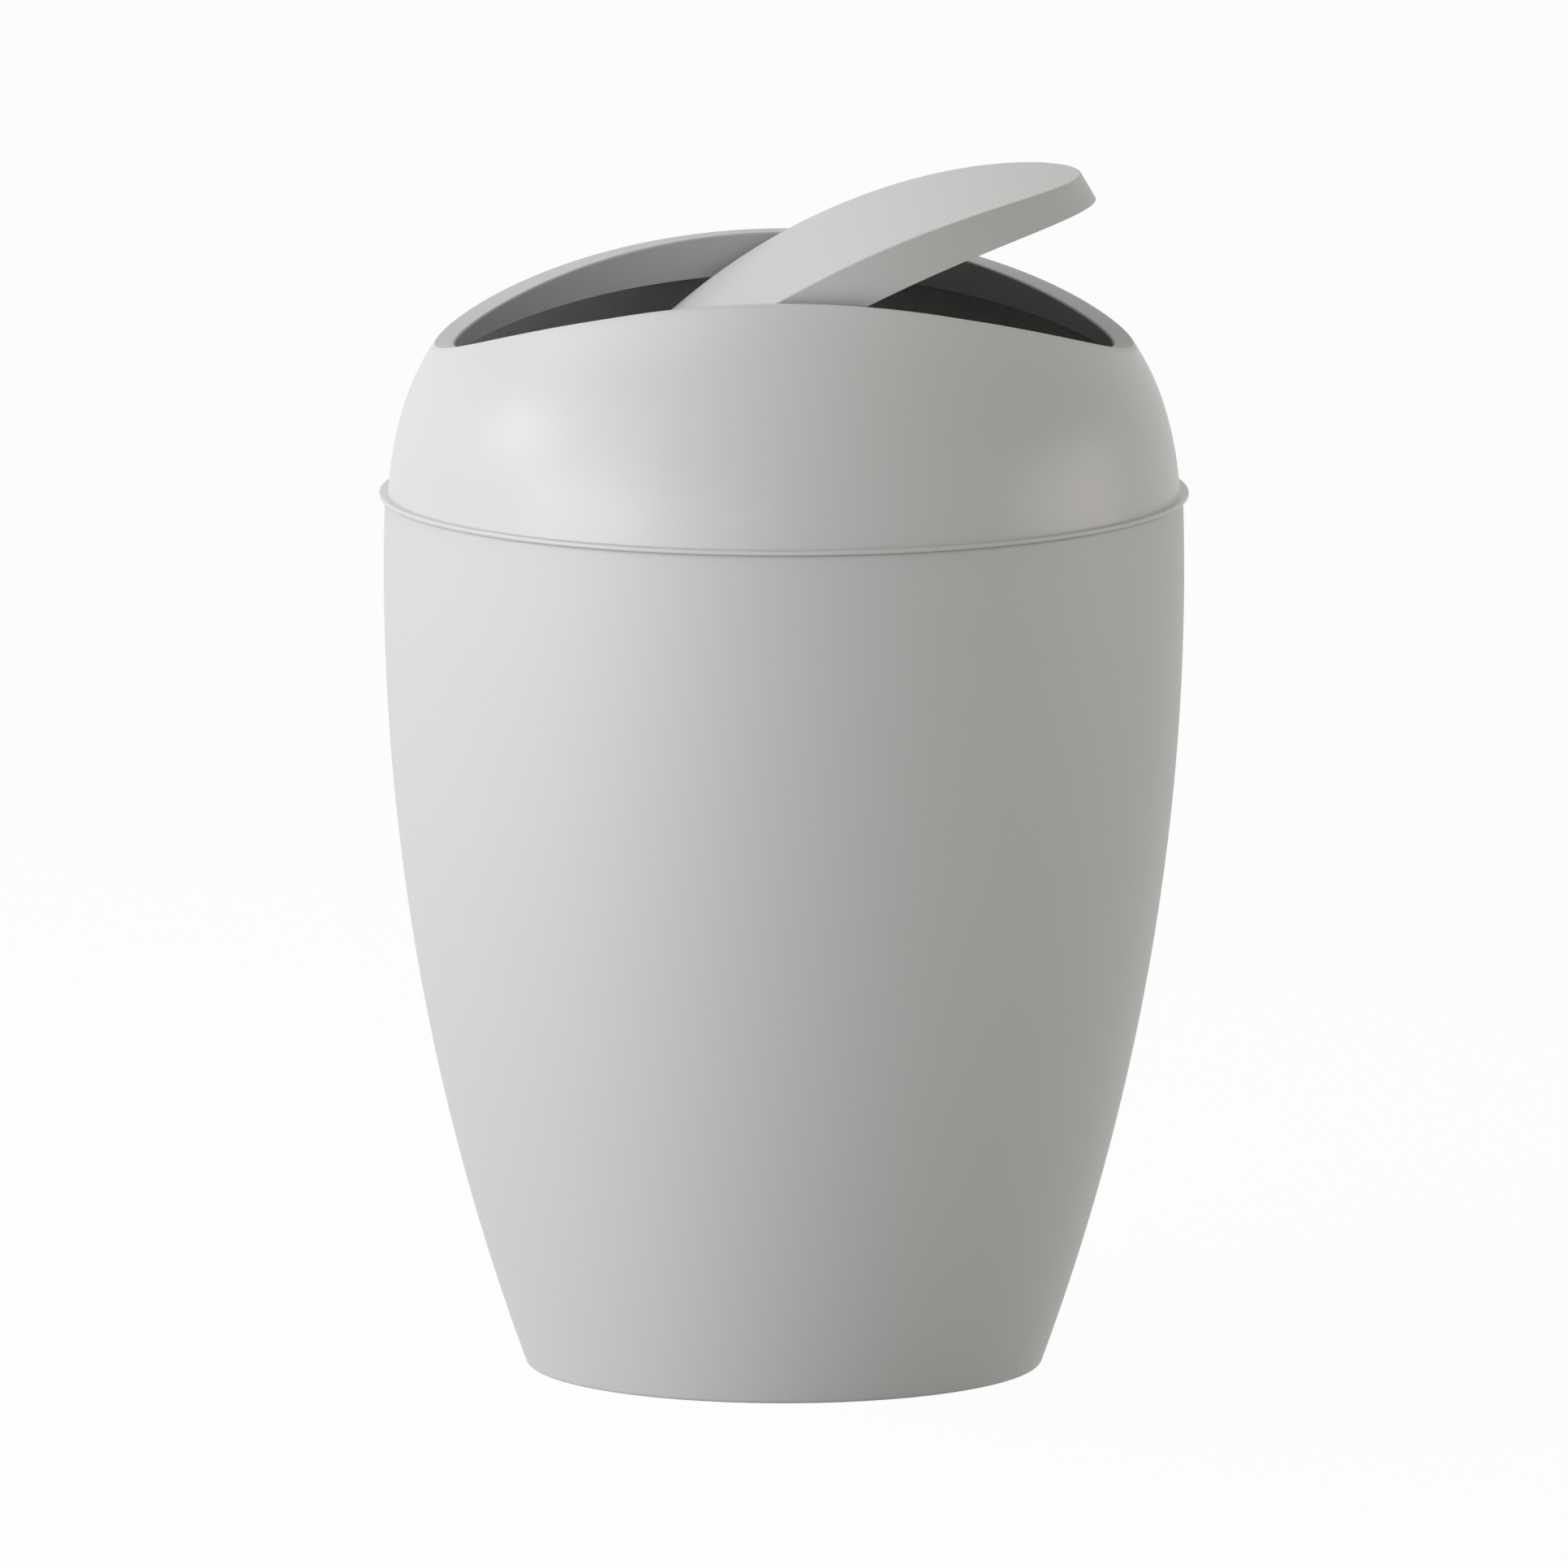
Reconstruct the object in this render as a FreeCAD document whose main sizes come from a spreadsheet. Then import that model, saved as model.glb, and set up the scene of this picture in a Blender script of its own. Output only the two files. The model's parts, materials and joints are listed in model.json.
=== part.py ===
import FreeCAD, Part
import math
import os
import re

import Sketcher

# A swing-lid wastebasket: a tapered round bin, a domed lid collar that stands on its rim,
# and an oval flap that swings on two pivot pins in the mouth of the collar.
# Frame: origin at the centre of the standing face, +Z up, -Y towards the user.
# The flap swings about an axis along Y and is modelled tipped open, its +X end raised.

SIZES = [
    # The bin
    ("body_height", 284.0, "standing face to the rim"),
    ("belly_radius", 129.5, "greatest outer radius of the bin"),
    ("belly_height", 259.0, "height of the greatest radius"),
    ("side_arc", 750.0, "radius of the long arc of the side"),
    ("body_wall", 2.2, "wall of the bin"),
    ("floor_thickness", 2.5, "floor of the bin"),
    ("foot_width", 9.0, "width of the standing ring"),
    ("foot_recess", 1.5, "hollow under the floor, inside the standing ring"),
    ("base_round", 1.5, "rounding of the bottom edge"),
    ("rim_round", 0.6, "rounding of the two rim edges"),
    # The lid collar
    ("flange_overhang", 1.9, "how far the flange stands out past the rim"),
    ("flange_thickness", 1.4, "thickness of the flange"),
    ("flange_round", 0.5, "rounding of the flange's outer edges"),
    ("spigot_depth", 9.0, "depth of the ring that centres the collar in the bin"),
    ("spigot_wall", 1.8, "wall of that ring"),
    ("spigot_clearance", 0.4, "radial gap between the ring and the bin"),
    ("flange_step", 2.7, "how far the dome's greatest radius lies inside the flange"),
    ("dome_drop", 5.3, "depth of that radius below the rim plane"),
    ("dome_arc", 115.0, "profile radius of the dome's side"),
    ("shoulder_height", 27.4, "height above the rim where the shoulder starts"),
    ("shoulder_arc", 80.4, "profile radius of the dome's shoulder"),
    ("dome_wall", 2.2, "wall of the dome"),
    ("mouth_crown", 74.6, "height of the mouth's front and back edge above the rim"),
    ("mouth_arc", 267.5, "radius of the arc that the mouth's edge follows"),
    ("lip_width", 6.7, "width of the flat lip around the mouth"),
    ("lip_fall", 0.4, "fall of the lip inwards at the front and back"),
    ("lip_wall", 2.0, "thickness of the lip and of the wall below it"),
    ("lip_round", 0.6, "rounding of the lip's outer and inner edges"),
    ("apron_depth", 14.1, "depth of the inner wall below the mouth's crown"),
    ("apron_arc", 358.0, "radius of the arc of the inner wall's lower edge"),
    # The flap
    ("flap_gap", 3.7, "gap between the flap and the mouth, all round"),
    ("flap_tilt", 30.3, "angle that the flap is tipped open, in degrees"),
    ("pivot_depth", 8.8, "depth of the pivot axis below the mouth's crown"),
    ("flap_sink", 0.1, "depth of the closed flap's crown below the lip"),
    ("flap_top_arc", 244.2, "radius of the arc of the flap's top"),
    ("flap_base_arc", 311.9, "radius of the arc of the flap's lower edge"),
    ("flap_depth", 15.2, "height of the flap's edge at the pivots"),
    ("flap_wall", 2.0, "wall of the flap's shell"),
    ("flap_round", 0.8, "rounding of the flap's upper edge"),
    ("cover_thickness", 1.6, "thickness of the flap's lower cover"),
    ("cover_land", 1.1, "wall left outside the seat of the cover"),
    ("cover_clearance", 0.15, "gap between the cover and its seat"),
    # The pivots and stops
    ("pin_radius", 2.5, "radius of a pivot pin"),
    ("pin_running", 0.05, "radial clearance of a pin in the collar"),
    ("pin_push", 0.02, "radial clearance of a pin in the flap"),
    ("pin_head_radius", 4.0, "radius of a pin's head"),
    ("pin_head_length", 1.8, "length of a pin's head"),
    ("pin_recess", 0.5, "depth of a pin's tip inside the mouth of its bearing"),
    ("bearing_radius", 5.2, "outer radius of a bearing boss on the collar"),
    ("bearing_proud", 0.9, "length of a bearing boss inside the mouth"),
    ("bearing_length", 4.5, "length of a bearing boss behind the inner wall"),
    ("flap_boss_radius", 4.6, "outer radius of a pin boss in the flap"),
    ("flap_boss_length", 6.0, "length of a pin boss inside the flap's wall"),
    ("stop_proud", 2.25, "height of the stop nibs and stop ledges"),
    ("nib_width", 3.0, "width of a stop nib on the flap"),
    ("nib_inner", 5.4, "distance from the axis to a nib's near end"),
    ("nib_length", 2.1, "length of a stop nib"),
    ("ledge_drop", 1.0, "depth of a stop ledge's top below the axis"),
    ("ledge_height", 2.0, "thickness of a stop ledge"),
    ("ledge_length", 4.5, "length of a stop ledge beside the bearing boss"),
    # Construction
    ("overshoot", 20.0, "how far a cutting shape runs past what it cuts"),
]

BEARING_AXIS = "<mouth_crown> - <pivot_depth>"  # height of the pivot axis above the rim plane
PIVOT_HEIGHT = f"<body_height> + {BEARING_AXIS}"  # height of the pivot axis above the standing face
FLAP_CROWN = "<pivot_depth> - <lip_fall> - <flap_sink>"  # top of the shut flap above its axis
FLAP_BASE = f"{FLAP_CROWN} - <flap_depth>"  # lower edge of the shut flap above its axis, at the pivots

TOLERANCE = 1e-6  # millimetres within which two sizes are the same
EDGE_SEARCH = 0.8  # millimetres within which an edge is taken for the one sought
EDGE_MATCH = 0.01  # share of its size within which an edge is taken for an oval
LOFT_POINTS = 48  # points that carry each closed curve of the mouth

doc = FreeCAD.newDocument("Wastebasket")
sheet = doc.addObject("Spreadsheet::Sheet", "Sizes")


def add_cell(row, alias, value, meaning):
    """Write a named plain number and what it means into one row of the sheet."""
    sheet.set(f"A{row}", meaning)
    sheet.set(f"B{row}", str(value))
    sheet.setAlias(f"B{row}", alias)


def size(alias):
    """The value of one cell of the sheet."""
    return float(getattr(sheet, alias))


def over_sheet(formula):
    """Turn each <name> of a formula into a reference to that cell of the sheet."""
    return re.sub(r"<(\w+)>", r"Sizes.\1", formula)


def bind(thing, formulas):
    """Bind properties of an object to formulas in which <name> stands for a cell of the sheet."""
    for prop, formula in formulas.items():
        thing.setExpression(prop, over_sheet(formula))
    return thing


def drop(arc, x):
    """How far an arc of this radius has fallen from its crown at the distance x."""
    return arc - math.sqrt(arc**2 - x**2)


# ------------------------------------------------------------------ building blocks

def dimension(sketch, kind, where, name, formula):
    """Add a named dimension to a sketch and bind it to a formula."""
    index = sketch.addConstraint(Sketcher.Constraint(kind, *where))
    sketch.renameConstraint(index, name)
    bind(sketch, {f"Constraints.{name}": formula})


def point(x, z):
    return FreeCAD.Vector(x, z, 0)


def arc_between(centre, radius, first, last):
    """An arc of a sketch, anticlockwise from the direction of one point to that of another."""
    circle = Part.Circle(centre, FreeCAD.Vector(0, 0, 1), radius)
    angles = [math.atan2(end.y - centre.y, end.x - centre.x) for end in (first, last)]
    return Part.ArcOfCircle(circle, *angles)


def join(sketch, pairs):
    """Join the ends of neighbouring pieces; each pair names two pieces and the end of each."""
    for pair in pairs:
        sketch.addConstraint(Sketcher.Constraint("Coincident", *pair))


def boolean(kind, name, *shapes):
    """A Part::Cut of two objects, or a Part::MultiFuse or Part::MultiCommon of several."""
    solid = doc.addObject(f"Part::{kind}", name)
    if kind == "Cut":
        solid.Base, solid.Tool = shapes
    else:
        solid.Shapes = list(shapes)
    return solid


def upright_cylinder(name, radius, bottom, height):
    solid = doc.addObject("Part::Cylinder", name)
    return bind(solid, {"Radius": radius, "Height": height, "Placement.Base.z": bottom})


def cylinder_along_y(name, radius, start, length, centre_z="0 mm"):
    """A cylinder lying along +Y from y = start, its axis at the height centre_z."""
    solid = doc.addObject("Part::Cylinder", name)
    solid.Placement.Rotation = FreeCAD.Rotation(FreeCAD.Vector(1, 0, 0), -90)
    return bind(solid, {"Radius": radius, "Height": length,
                        "Placement.Base.y": start, "Placement.Base.z": centre_z})


def block(name, low_x, low_y, low_z, long_x, long_y, long_z):
    solid = doc.addObject("Part::Box", name)
    return bind(solid, {"Length": long_x, "Width": long_y, "Height": long_z, "Placement.Base.x": low_x,
                        "Placement.Base.y": low_y, "Placement.Base.z": low_z})


def crowned_roller(name, arc, crown):
    """A wide cylinder along Y whose highest line, at the height crown, lies over the axis of the bin."""
    return cylinder_along_y(name, arc, "-<flange_radius>", "2 * <flange_radius>", f"({crown}) - ({arc})")


def oval_column(name, half_length, half_depth, bottom, height):
    """An upright column with an elliptical section, long along X."""
    outline = doc.addObject("Part::Ellipse", f"{name}Outline")
    bind(outline, {"MajorRadius": half_length, "MinorRadius": half_depth, "Placement.Base.z": bottom})
    column = doc.addObject("Part::Extrusion", name)
    column.Base = outline
    column.DirMode = "Custom"
    column.Dir = FreeCAD.Vector(0, 0, 1)
    column.Solid = True
    return bind(column, {"LengthFwd": height})


def edges_where(shape, holds):
    """The numbers of the edges of a shape whose ends and middle all satisfy a test."""
    numbers = []
    for number, edge in enumerate(shape.Edges, start=1):
        first, last = edge.ParameterRange
        places = [edge.valueAt(place) for place in (first, (first + last) / 2, last)]
        if all(holds(place) for place in places):
            numbers.append(number)
    return numbers


def circle_edges(shape, radius, height):
    """The numbers of the edges that lie on a level circle about the axis of the bin."""
    return edges_where(shape, lambda place: abs(place.z - height) < TOLERANCE
                       and abs(math.hypot(place.x, place.y) - radius) < TOLERANCE)


def oval_edges(shape, half_length, half_depth, height):
    """The numbers of the edges that are an oval from above and lie at height(x)."""
    return edges_where(shape, lambda place: abs(place.z - height(place.x)) < EDGE_SEARCH
                       and abs(math.hypot(place.x / half_length, place.y / half_depth) - 1) < EDGE_MATCH)


def rounded(name, base, numbers, radius):
    """A Part::Fillet of numbered edges of an object, all with one radius."""
    solid = doc.addObject("Part::Fillet", name)
    solid.Base = base
    solid.Edges = [(number, radius, radius) for number in numbers]
    return solid


# ------------------------------------------------------------------ the bin

def make_bin():
    """The tapered bin: one long arc for a side, a floor raised on a standing ring, and an open top."""
    body = doc.addObject("PartDesign::Body", "bin_body")
    sketch = body.newObject("Sketcher::SketchObject", "BinProfile")
    plane = [item for item in body.Origin.OriginFeatures if item.Role == "XZ_Plane"][0]
    sketch.AttachmentSupport = [(plane, "")]
    sketch.MapMode = "FlatFace"

    arc = size("side_arc")
    inner_arc = arc - size("body_wall")
    centre = point(size("belly_radius") - arc, size("belly_height"))
    floor_top = size("foot_recess") + size("floor_thickness")
    base_radius = bin_radius(0)
    rim_radius = bin_radius(size("body_height"))
    foot_inner = point(base_radius - size("foot_width"), 0)
    foot_outer = point(base_radius, 0)
    rim_outer = point(rim_radius, size("body_height"))
    rim_inner = point(inner_bin_radius(size("body_height")), size("body_height"))
    floor_edge = point(inner_bin_radius(floor_top), floor_top)
    floor_centre = point(0, floor_top)
    under_centre = point(0, size("foot_recess"))
    under_edge = point(foot_inner.x, size("foot_recess"))
    sketch.addGeometry(Part.LineSegment(foot_inner, foot_outer), False)
    sketch.addGeometry(arc_between(centre, arc, foot_outer, rim_outer), False)
    sketch.addGeometry(Part.LineSegment(rim_outer, rim_inner), False)
    sketch.addGeometry(arc_between(centre, inner_arc, floor_edge, rim_inner), False)
    sketch.addGeometry(Part.LineSegment(floor_edge, floor_centre), False)
    sketch.addGeometry(Part.LineSegment(floor_centre, under_centre), False)
    sketch.addGeometry(Part.LineSegment(under_centre, under_edge), False)
    sketch.addGeometry(Part.LineSegment(under_edge, foot_inner), False)
    foot, side, rim, inside, floor, middle, under, step = range(8)
    join(sketch, [(foot, 2, side, 1), (side, 2, rim, 1), (rim, 2, inside, 2), (inside, 1, floor, 1),
                  (floor, 2, middle, 1), (middle, 2, under, 1), (under, 2, step, 1), (step, 2, foot, 1),
                  (side, 3, inside, 3)])
    for level in (rim, floor, under):
        sketch.addConstraint(Sketcher.Constraint("Horizontal", level))
    sketch.addConstraint(Sketcher.Constraint("Vertical", step))
    for end in (1, 2):
        sketch.addConstraint(Sketcher.Constraint("PointOnObject", foot, end, -1))
        sketch.addConstraint(Sketcher.Constraint("PointOnObject", middle, end, -2))
    dimension(sketch, "Radius", (side, arc), "SideArc", "<side_arc>")
    dimension(sketch, "Radius", (inside, inner_arc), "InnerArc", "<side_arc> - <body_wall>")
    dimension(sketch, "DistanceX", (side, 3, -1, 1, -centre.x), "ArcCentre", "<side_arc> - <belly_radius>")
    dimension(sketch, "DistanceY", (-1, 1, side, 3, centre.y), "BellyHeight", "<belly_height>")
    dimension(sketch, "DistanceY", (-1, 1, rim, 1, rim_outer.y), "BodyHeight", "<body_height>")
    dimension(sketch, "DistanceY", (-1, 1, middle, 1, floor_top), "FloorTop",
              "<foot_recess> + <floor_thickness>")
    dimension(sketch, "DistanceY", (-1, 1, middle, 2, under_centre.y), "FootRecess", "<foot_recess>")
    dimension(sketch, "DistanceX", (foot, 1, foot, 2, size("foot_width")), "FootWidth", "<foot_width>")
    doc.recompute()

    shell = body.newObject("PartDesign::Revolution", "BinShell")
    shell.Profile = sketch
    shell.ReferenceAxis = (sketch, ["V_Axis"])
    shell.Angle = 360
    doc.recompute()
    base_edge = body.newObject("PartDesign::Fillet", "BaseRounding")
    base_edge.Base = (shell, [f"Edge{number}" for number in circle_edges(shell.Shape, base_radius, 0)])
    bind(base_edge, {"Radius": "<base_round>"})
    doc.recompute()
    rim_edges = circle_edges(base_edge.Shape, rim_radius, rim_outer.y)
    rim_edges += circle_edges(base_edge.Shape, rim_inner.x, rim_outer.y)
    rim_rounding = body.newObject("PartDesign::Fillet", "RimRounding")
    rim_rounding.Base = (base_edge, [f"Edge{number}" for number in rim_edges])
    bind(rim_rounding, {"Radius": "<rim_round>"})
    body.Tip = rim_rounding
    return body


def bin_radius(height):
    """The outer radius of the bin at a height above the standing face."""
    return size("belly_radius") - drop(size("side_arc"), height - size("belly_height"))


def inner_bin_radius(height):
    """The inner radius of the bin at a height above the standing face."""
    inner_arc = size("side_arc") - size("body_wall")
    rise = height - size("belly_height")
    return size("belly_radius") - size("side_arc") + math.sqrt(inner_arc**2 - rise**2)


# ------------------------------------------------------------------ the lid collar

def flange_radius():
    """The outer radius of the flange, which stands out past the rim of the bin."""
    return bin_radius(size("body_height")) + size("flange_overhang")


def dome_radius():
    """The greatest radius of the dome, a step inside the flange."""
    return size("flange_radius") - size("flange_step")


def spigot_radius():
    """The outer radius of the centring ring, clear of the narrowest place of the bin beside it."""
    rim = size("body_height")
    narrowest = min(inner_bin_radius(rim), inner_bin_radius(rim - size("spigot_depth")))
    return narrowest - size("spigot_clearance")


def dome_centres():
    """The centres of the dome's side arc and shoulder arc: (distance from the axis, height)."""
    side = point(size("dome_radius") - size("dome_arc"), -size("dome_drop"))
    rise = math.asin((size("shoulder_height") - side.y) / size("dome_arc"))
    reach = size("dome_arc") - size("shoulder_arc")
    return side, point(side.x + reach * math.cos(rise), side.y + reach * math.sin(rise))


def dome_radius_at(height):
    """The outer radius of the dome at a height above the rim plane."""
    side, shoulder = dome_centres()
    if height < size("shoulder_height"):
        return side.x + math.sqrt(size("dome_arc")**2 - (height - side.y)**2)
    return shoulder.x + math.sqrt(size("shoulder_arc")**2 - (height - shoulder.y)**2)


def mouth_height(x):
    """The height above the rim plane of the mouth's edge at a distance x along the mouth."""
    return size("mouth_crown") - drop(size("mouth_arc"), x)


def mouth_half_length():
    """Half the length of the mouth: where its arc meets the outside of the dome, by bisection."""
    low, high = 0.0, size("dome_radius")
    while high - low > TOLERANCE:
        middle = (low + high) / 2
        if dome_radius_at(mouth_height(middle)) > middle:
            low = middle
        else:
            high = middle
    return low


def mouth_half_depth():
    """Half the depth of the mouth, from front to back."""
    return dome_radius_at(size("mouth_crown"))


def dome_profile(name, wall, base):
    """Half the section of the dome from the height base up: side arc, tangent shoulder arc, flat top.

    wall names the size that the section is shrunk by, and is None for the outside.
    """
    sketch = doc.addObject("Sketcher::SketchObject", name)
    sketch.Placement.Rotation = FreeCAD.Rotation(FreeCAD.Vector(1, 0, 0), 90)
    side_centre, shoulder_centre = dome_centres()
    side_arc = size("dome_arc") - (size(wall) if wall else 0)
    shoulder_arc = size("shoulder_arc") - (size(wall) if wall else 0)
    less_wall = f" - <{wall}>" if wall else ""
    top = shoulder_centre.y + shoulder_arc
    turn = (shoulder_centre - side_centre).normalize()
    joint = shoulder_centre + turn * shoulder_arc
    base_point = point(side_centre.x + math.sqrt(side_arc**2 - (base - side_centre.y)**2), base)
    top_edge = point(shoulder_centre.x, top)
    sketch.addGeometry(arc_between(side_centre, side_arc, base_point, joint), False)
    sketch.addGeometry(arc_between(shoulder_centre, shoulder_arc, joint, top_edge), False)
    sketch.addGeometry(Part.LineSegment(top_edge, point(0, top)), False)
    sketch.addGeometry(Part.LineSegment(point(0, top), point(0, base)), False)
    sketch.addGeometry(Part.LineSegment(point(0, base), base_point), False)
    side, shoulder, roof, middle, floor = range(5)
    sketch.addConstraint(Sketcher.Constraint("Tangent", side, 2, shoulder, 1))
    sketch.addConstraint(Sketcher.Constraint("Tangent", shoulder, 2, roof, 1))
    join(sketch, [(roof, 2, middle, 1), (middle, 2, floor, 1), (floor, 2, side, 1)])
    sketch.addConstraint(Sketcher.Constraint("Horizontal", roof))
    sketch.addConstraint(Sketcher.Constraint("Horizontal", floor))
    sketch.addConstraint(Sketcher.Constraint("PointOnObject", middle, 1, -2))
    sketch.addConstraint(Sketcher.Constraint("PointOnObject", middle, 2, -2))
    dimension(sketch, "Radius", (side, side_arc), "SideArc", "<dome_arc>" + less_wall)
    dimension(sketch, "Radius", (shoulder, shoulder_arc), "ShoulderArc", "<shoulder_arc>" + less_wall)
    dimension(sketch, "DistanceX", (-1, 1, side, 3, side_centre.x), "CentreX",
              "<dome_radius> - <dome_arc>")
    dimension(sketch, "DistanceY", (side, 3, -1, 1, -side_centre.y), "CentreZ", "<dome_drop>")
    rise = "(<shoulder_height> + <dome_drop>) / <dome_arc>"
    dimension(sketch, "DistanceY", (-1, 1, shoulder, 3, shoulder_centre.y), "ShoulderZ",
              f"-<dome_drop> + (<dome_arc> - <shoulder_arc>) * {rise}")
    depth = "<flange_thickness>" if base else "0 mm"
    dimension(sketch, "DistanceY", (floor, 1, -1, 1, -base), "BaseZ", depth)
    return sketch


def dome_solid(name, wall, base):
    solid = doc.addObject("Part::Revolution", name)
    solid.Source = dome_profile(f"{name}Profile", wall, base)
    solid.Axis = FreeCAD.Vector(0, 0, 1)
    solid.Angle = 360
    solid.Solid = True
    return solid


def closed_curve(half_length, half_depth, height):
    """A closed curve, elliptical from above; height(angle) gives its height round the turn."""
    turns = [2 * math.pi * step / LOFT_POINTS for step in range(LOFT_POINTS + 1)]
    points = [FreeCAD.Vector(half_length * math.cos(turn), half_depth * math.sin(turn), height(turn))
              for turn in turns[:-1]]
    curve = Part.BSplineCurve()
    curve.interpolate(Points=points, PeriodicFlag=True, Parameters=turns)
    quarter = math.pi / 2
    return Part.Wire([curve.toShape(quarter * step, quarter * (step + 1)) for step in range(4)])


def mouth_plug(name, growth, sink):
    """The space that the mouth opens: a column inside the inner wall that widens over the lip.

    The lip is ruled between the mouth's edge on the dome and an inner edge that lies lip_fall lower
    at the front and back and level with it at the two ends. growth widens the column and sink
    lowers the lip, which gives the same shape for the underside of the lip and its wall.
    """
    half_length = size("mouth_half_length")
    half_depth = size("mouth_half_depth")
    beyond = size("overshoot")
    slope = size("lip_fall") / size("lip_width")
    inset = size("lip_width") - growth
    top = size("mouth_crown") + beyond
    apron_low = size("mouth_crown") - size("apron_depth") - drop(size("apron_arc"), half_length)
    bottom = apron_low - beyond

    def lip_height(angle, outward):
        fall = slope * outward * math.sin(angle)**2
        return mouth_height(half_length * math.cos(angle)) + fall - sink

    outer = (half_length + beyond, half_depth + beyond)
    inner = (half_length - inset, half_depth - inset)
    wires = [
        closed_curve(*outer, lambda angle: top),
        closed_curve(*outer, lambda angle: lip_height(angle, beyond)),
        closed_curve(*inner, lambda angle: lip_height(angle, -inset)),
        closed_curve(*inner, lambda angle: bottom),
    ]
    plug = doc.addObject("Part::Feature", name)
    plug.Shape = Part.makeLoft(wires, True, True)
    return plug


def collar_ring():
    """The flange that rests on the rim of the bin, and the ring below it that centres the collar."""
    flange = upright_cylinder("FlangeDisc", "<flange_radius>", "0 mm", "<flange_thickness>")
    doc.recompute()
    edges = circle_edges(flange.Shape, size("flange_radius"), 0)
    edges += circle_edges(flange.Shape, size("flange_radius"), size("flange_thickness"))
    disc = rounded("FlangeRounded", flange, edges, size("flange_round"))
    spigot = upright_cylinder("SpigotDisc", "<spigot_radius>", "-<spigot_depth>",
                              "<spigot_depth> + <flange_thickness>")
    hollow = upright_cylinder("RingHollow", "<spigot_radius> - <spigot_wall>",
                              "-<spigot_depth> - <overshoot>", "<spigot_depth> + 2 * <overshoot>")
    return boolean("Cut", "CollarRing", boolean("MultiFuse", "RingSolid", disc, spigot), hollow)


def bearing(side):
    """A bearing boss on the mouth's inner wall, with a stop ledge on each side of it.

    side is +1 for the bearing behind the flap and -1 for the one in front.
    """
    tag = "Rear" if side > 0 else "Front"
    inner = "(<mouth_half_depth> - <lip_width>)"
    length = "(<bearing_proud> + <lip_wall> + <bearing_length>)"
    start = f"{inner} - <bearing_proud>" if side > 0 else f"-{inner} + <bearing_proud> - {length}"
    parts = [cylinder_along_y(f"{tag}Boss", "<bearing_radius>", start, length, BEARING_AXIS)]
    ledge_start = f"{inner} - <stop_proud>" if side > 0 else f"-{inner} - <lip_wall> / 2"
    for ledge_side in (-1, 1):
        near = "<bearing_radius> - <stop_proud>"
        low_x = near if ledge_side > 0 else "-<bearing_radius> - <ledge_length>"
        name = f"{tag}Ledge{'Left' if ledge_side < 0 else 'Right'}"
        low_z = f"{BEARING_AXIS} - <ledge_drop> - <ledge_height>"
        parts.append(block(name, low_x, ledge_start, low_z, "<ledge_length> + <stop_proud>",
                           "<stop_proud> + <lip_wall> / 2", "<ledge_height>"))
    return parts


def make_collar():
    """The domed collar: flange and centring ring, dome, saddle-shaped mouth, lip, inner wall, bearings."""
    outside = dome_solid("DomeOutside", None, 0)
    sharp = boolean("Cut", "DomeOpened", outside, mouth_plug("MouthPlug", 0, 0))
    doc.recompute()
    length = size("mouth_half_length")
    depth = size("mouth_half_depth")
    width = size("lip_width")
    edges = oval_edges(sharp.Shape, length, depth, mouth_height)
    stretch = length / (length - width)
    edges += oval_edges(sharp.Shape, length - width, depth - width, lambda x: mouth_height(x * stretch))
    opened = rounded("DomeOpenedRounded", sharp, edges, size("lip_round"))
    wall = size("lip_wall")
    apron_edge = crowned_roller("ApronEdge", "<apron_arc>", "<mouth_crown> - <apron_depth>")
    band = boolean("Cut", "LipAndApron", mouth_plug("BandPlug", wall, wall), apron_edge)
    inside = dome_solid("DomeInside", "dome_wall", -size("flange_thickness"))
    dome = boolean("Cut", "DomeShell", opened, boolean("Cut", "DomeCavity", inside, band))
    solid = boolean("MultiFuse", "CollarSolid", dome, collar_ring(), *bearing(1), *bearing(-1))
    bore = cylinder_along_y("BearingBores", "<pin_radius> + <pin_running>", "-<dome_radius>",
                            "2 * <dome_radius>", BEARING_AXIS)
    reach = oval_column("BoreReach", "<dome_radius>",
                        "<mouth_half_depth> - <lip_width> + <lip_wall> + <bearing_length>",
                        "0 mm", "<mouth_crown>")
    collar = boolean("Cut", "lid_collar", solid, boolean("MultiCommon", "BoresInBosses", bore, reach))
    return bind(collar, {"Placement.Base.z": "<body_height>"})


# ------------------------------------------------------------------ the flap

def flap_column(name, inset="0"):
    """A column of the flap's oval, a little smaller by an inset, about the pivot axis."""
    return oval_column(name, f"<mouth_half_length> - <lip_width> - <flap_gap> - {inset}",
                       f"<mouth_half_depth> - <lip_width> - <flap_gap> - {inset}",
                       "-<dome_radius>", "2 * <dome_radius>")


def tip_open(flap_piece):
    """Put a piece that was made about the pivot axis, flap shut, in its place with the flap tipped open."""
    flap_piece.Placement.Rotation = FreeCAD.Rotation(FreeCAD.Vector(0, -1, 0), size("flap_tilt"))
    return bind(flap_piece, {"Placement.Base.z": PIVOT_HEIGHT, "Placement.Rotation.Angle": "<flap_tilt>"})


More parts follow.
